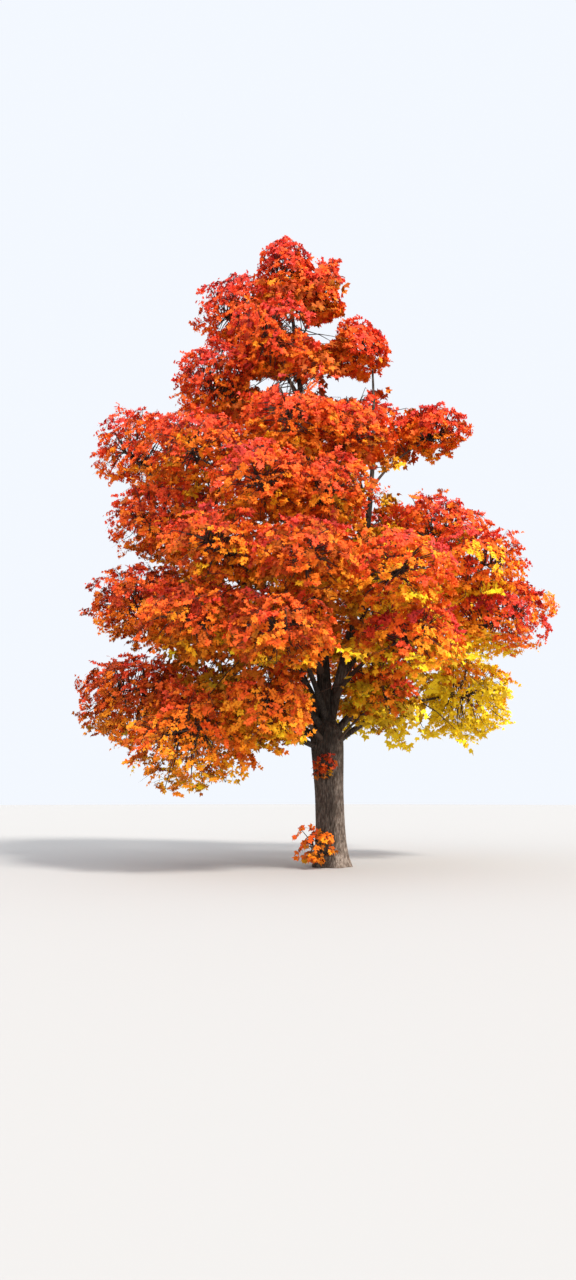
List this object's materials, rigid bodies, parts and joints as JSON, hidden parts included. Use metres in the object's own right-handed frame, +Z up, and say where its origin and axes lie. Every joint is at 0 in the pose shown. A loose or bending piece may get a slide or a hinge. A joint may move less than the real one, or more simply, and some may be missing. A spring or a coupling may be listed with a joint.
{
  "type": "autumn maple tree",
  "caption": "Broad deciduous tree in red and orange autumn leaf: a leaning trunk that forks low, boughs on all sides, and separate layered masses of foliage.",
  "frame": {"origin": "middle of the flat cut under the trunk, at ground level", "axes": "+Z up along the trunk, +X to the right and +Y to the back as seen in the picture"},
  "size_m": [10.2977, 10.9507, 14.3854],
  "materials": {
    "bark": "rough, finely ridged grey-brown bark",
    "leaf_gold": "thin matt autumn leaves, golden to orange",
    "leaf_orange": "thin matt autumn leaves, orange",
    "leaf_red": "thin matt autumn leaves, orange-red",
    "leaf_crimson": "thin matt autumn leaves, red to crimson"
  },
  "bodies": {
    "root": {"trunk": "bark", "left_stem": "bark", "right_stem": "bark", "bough_high_back_left": "bark", "bough_low_back": "bark", "bough_low_back_left": "bark", "bough_low_back_right": "bark", "bough_low_front": "bark", "bough_low_front_left": "bark", "bough_low_left": "bark", "bough_low_right": "bark", "bough_mid_back": "bark", "bough_mid_front": "bark", "bough_skirt_back_left": "bark", "bough_skirt_front_left": "bark", "bough_skirt_left": "bark", "bough_skirt_right": "bark", "leaves_crest": "leaf_crimson", "leaves_crest_right": "leaf_crimson", "leaves_foot_shoots": "leaf_gold", "leaves_high_back_left": "leaf_red", "leaves_high_back_right": "leaf_red", "leaves_high_front": "leaf_red", "leaves_high_front_left": "leaf_red", "leaves_high_left": "leaf_red", "leaves_high_right": "leaf_red", "leaves_inner_front": "leaf_gold", "leaves_inner_right": "leaf_gold", "leaves_low_back": "leaf_orange", "leaves_low_back_left": "leaf_orange", "leaves_low_back_right": "leaf_orange", "leaves_low_front": "leaf_orange", "leaves_low_front_left": "leaf_orange", "leaves_low_front_right": "leaf_orange", "leaves_low_left": "leaf_orange", "leaves_low_right": "leaf_orange", "leaves_mid_back": "leaf_orange", "leaves_mid_front": "leaf_orange", "leaves_mid_front_left": "leaf_orange", "leaves_mid_front_right": "leaf_orange", "leaves_mid_right": "leaf_orange", "leaves_shoulder_back": "leaf_red", "leaves_shoulder_front": "leaf_red", "leaves_shoulder_front_left": "leaf_red", "leaves_shoulder_front_right": "leaf_red", "leaves_shoulder_left": "leaf_red", "leaves_shoulder_right": "leaf_red", "leaves_skirt_back_left": "leaf_gold", "leaves_skirt_front": "leaf_gold", "leaves_skirt_front_left": "leaf_gold", "leaves_skirt_left": "leaf_gold", "leaves_skirt_right": "leaf_gold", "leaves_top_back": "leaf_crimson", "leaves_top_front": "leaf_crimson", "leaves_top_left": "leaf_crimson", "leaves_trunk_shoots": "leaf_red", "leaves_upper_back_left": "leaf_crimson", "leaves_upper_back_right": "leaf_crimson", "leaves_upper_left": "leaf_crimson", "leaves_upper_right": "leaf_crimson"}
  },
  "joints": []
}
